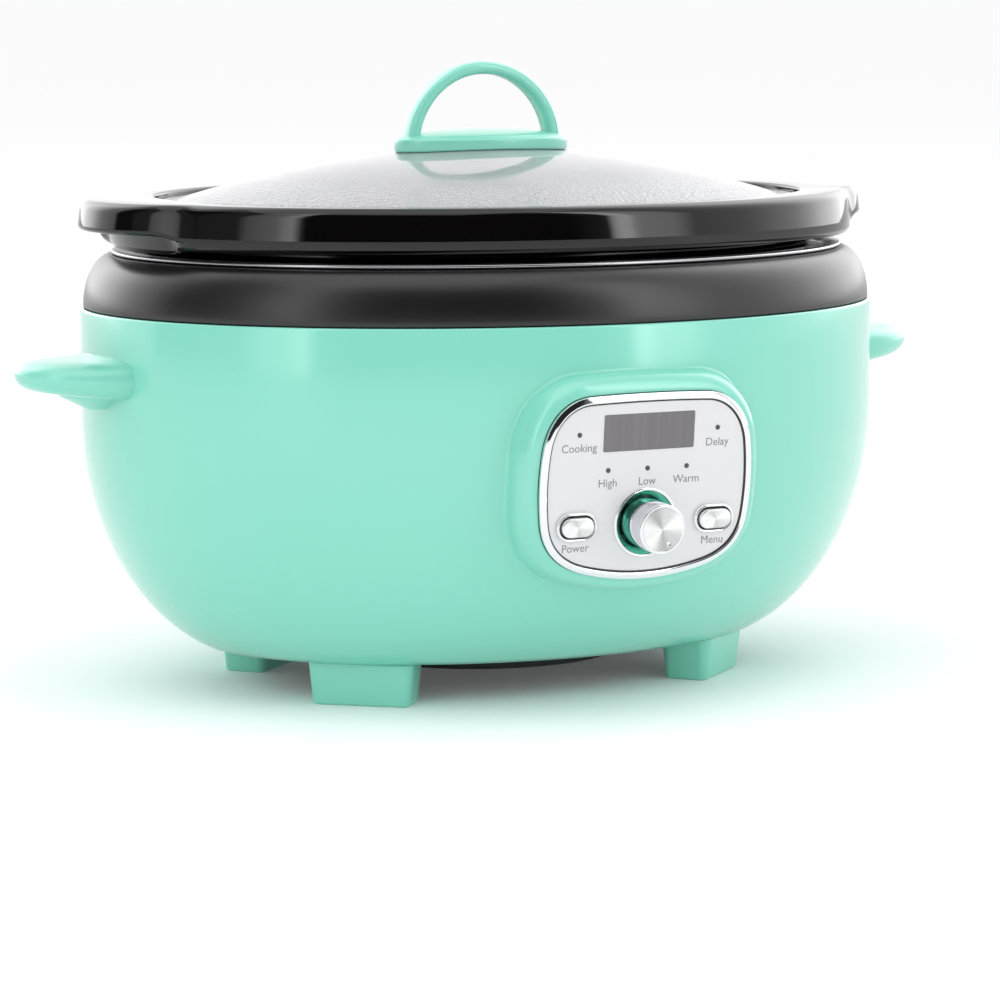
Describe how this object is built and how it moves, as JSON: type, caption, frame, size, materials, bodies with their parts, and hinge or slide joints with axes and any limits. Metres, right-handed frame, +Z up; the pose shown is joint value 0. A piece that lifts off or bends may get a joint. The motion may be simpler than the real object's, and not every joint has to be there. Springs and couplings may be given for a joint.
{
  "type": "slow cooker",
  "caption": "Oval slow cooker: mint housing on feet, lift-out black crock, domed glass lid with a loop knob, and a silver panel with display, turning knob and push buttons.",
  "frame": {"origin": "under the middle of the whole cooker, on the surface it stands on", "axes": "+X to the right as seen from the front, +Y to the rear, +Z up; the panel faces -Y"},
  "size_m": [0.409, 0.2904, 0.2538],
  "materials": {
    "gloss_mint": "glossy mint enamel look",
    "satin_mint": "satin mint",
    "satin_black": "satin black",
    "crock_glaze": "very glossy black glaze on stoneware, opaque",
    "liner_metal": "bright",
    "heater_ceramic": "matt off-white",
    "sheet_steel": "plain",
    "chrome": "polished",
    "silver_face": "satin silver",
    "display_grey": "smoked window",
    "lens_grey": "unlit indicator",
    "black_plastic": "matt black",
    "circuit_board": "green board",
    "lid_glass": "clear tempered, stippled outer band",
    "clear_silicone": "translucent silicone"
  },
  "bodies": {
    "housing": {"outer_shell": "gloss_mint", "collar_ring": "satin_black", "heating_liner": "liner_metal", "heater_band": "heater_ceramic", "heat_shield": "sheet_steel", "base_plate": "black_plastic", "cord_gland": "black_plastic", "power_board": "circuit_board", "relay": "black_plastic", "temperature_sensor": "heater_ceramic", "thermal_fuse": "heater_ceramic", "panel_bezel": "chrome", "panel_face": "silver_face", "display_window": "display_grey", "display_module": "black_plastic", "control_board": "circuit_board", "board_cover": "black_plastic", "lens_cooking": "lens_grey", "lens_delay": "lens_grey", "lens_high": "lens_grey", "lens_low": "lens_grey", "lens_warm": "lens_grey", "knob_ring": "chrome", "encoder_body": "black_plastic", "power_button_ring": "chrome", "power_switch": "black_plastic", "menu_button_ring": "chrome", "menu_switch": "black_plastic", "side_handle_left": "satin_mint", "side_handle_right": "satin_mint", "handle_screw_left_front": "sheet_steel", "handle_screw_left_rear": "sheet_steel", "handle_screw_right_front": "sheet_steel", "handle_screw_right_rear": "sheet_steel", "foot_front_left": "satin_mint", "foot_front_right": "satin_mint", "foot_rear_left": "satin_mint", "foot_rear_right": "satin_mint", "base_screw_1": "sheet_steel", "base_screw_2": "sheet_steel", "base_screw_3": "sheet_steel", "base_screw_4": "sheet_steel"},
    "crock": {"crock": "crock_glaze"},
    "lid": {"lid_glass": "lid_glass", "lid_knob": "satin_mint", "lid_washer": "clear_silicone", "lid_screw": "sheet_steel"},
    "knob": {"knob_cap": "chrome", "knob_shaft": "sheet_steel"},
    "power_button": {"power_button": "chrome"},
    "menu_button": {"menu_button": "chrome"}
  },
  "joints": [
    {"name": "crock_lift", "type": "slide", "parent": "housing", "child": "crock", "axis": [0, 0, 1], "range_m": [0, 0.16]},
    {"name": "lid_lift", "type": "slide", "parent": "crock", "child": "lid", "axis": [0, 0, 1], "range_m": [0, 0.12]},
    {"name": "knob_turn", "type": "hinge", "parent": "housing", "child": "knob", "pos_m": [0, -0.13035, 0.07896], "axis": [0, -0.9962, -0.0872], "continuous": true},
    {"name": "power_press", "type": "slide", "parent": "housing", "child": "power_button", "axis": [0, 0.9962, 0.0872], "range_m": [0, 0.0015], "stiffness_N_per_m": 900, "springref_m": -0.0005},
    {"name": "menu_press", "type": "slide", "parent": "housing", "child": "menu_button", "axis": [0, 0.9962, 0.0872], "range_m": [0, 0.0015], "stiffness_N_per_m": 900, "springref_m": -0.0005}
  ]
}
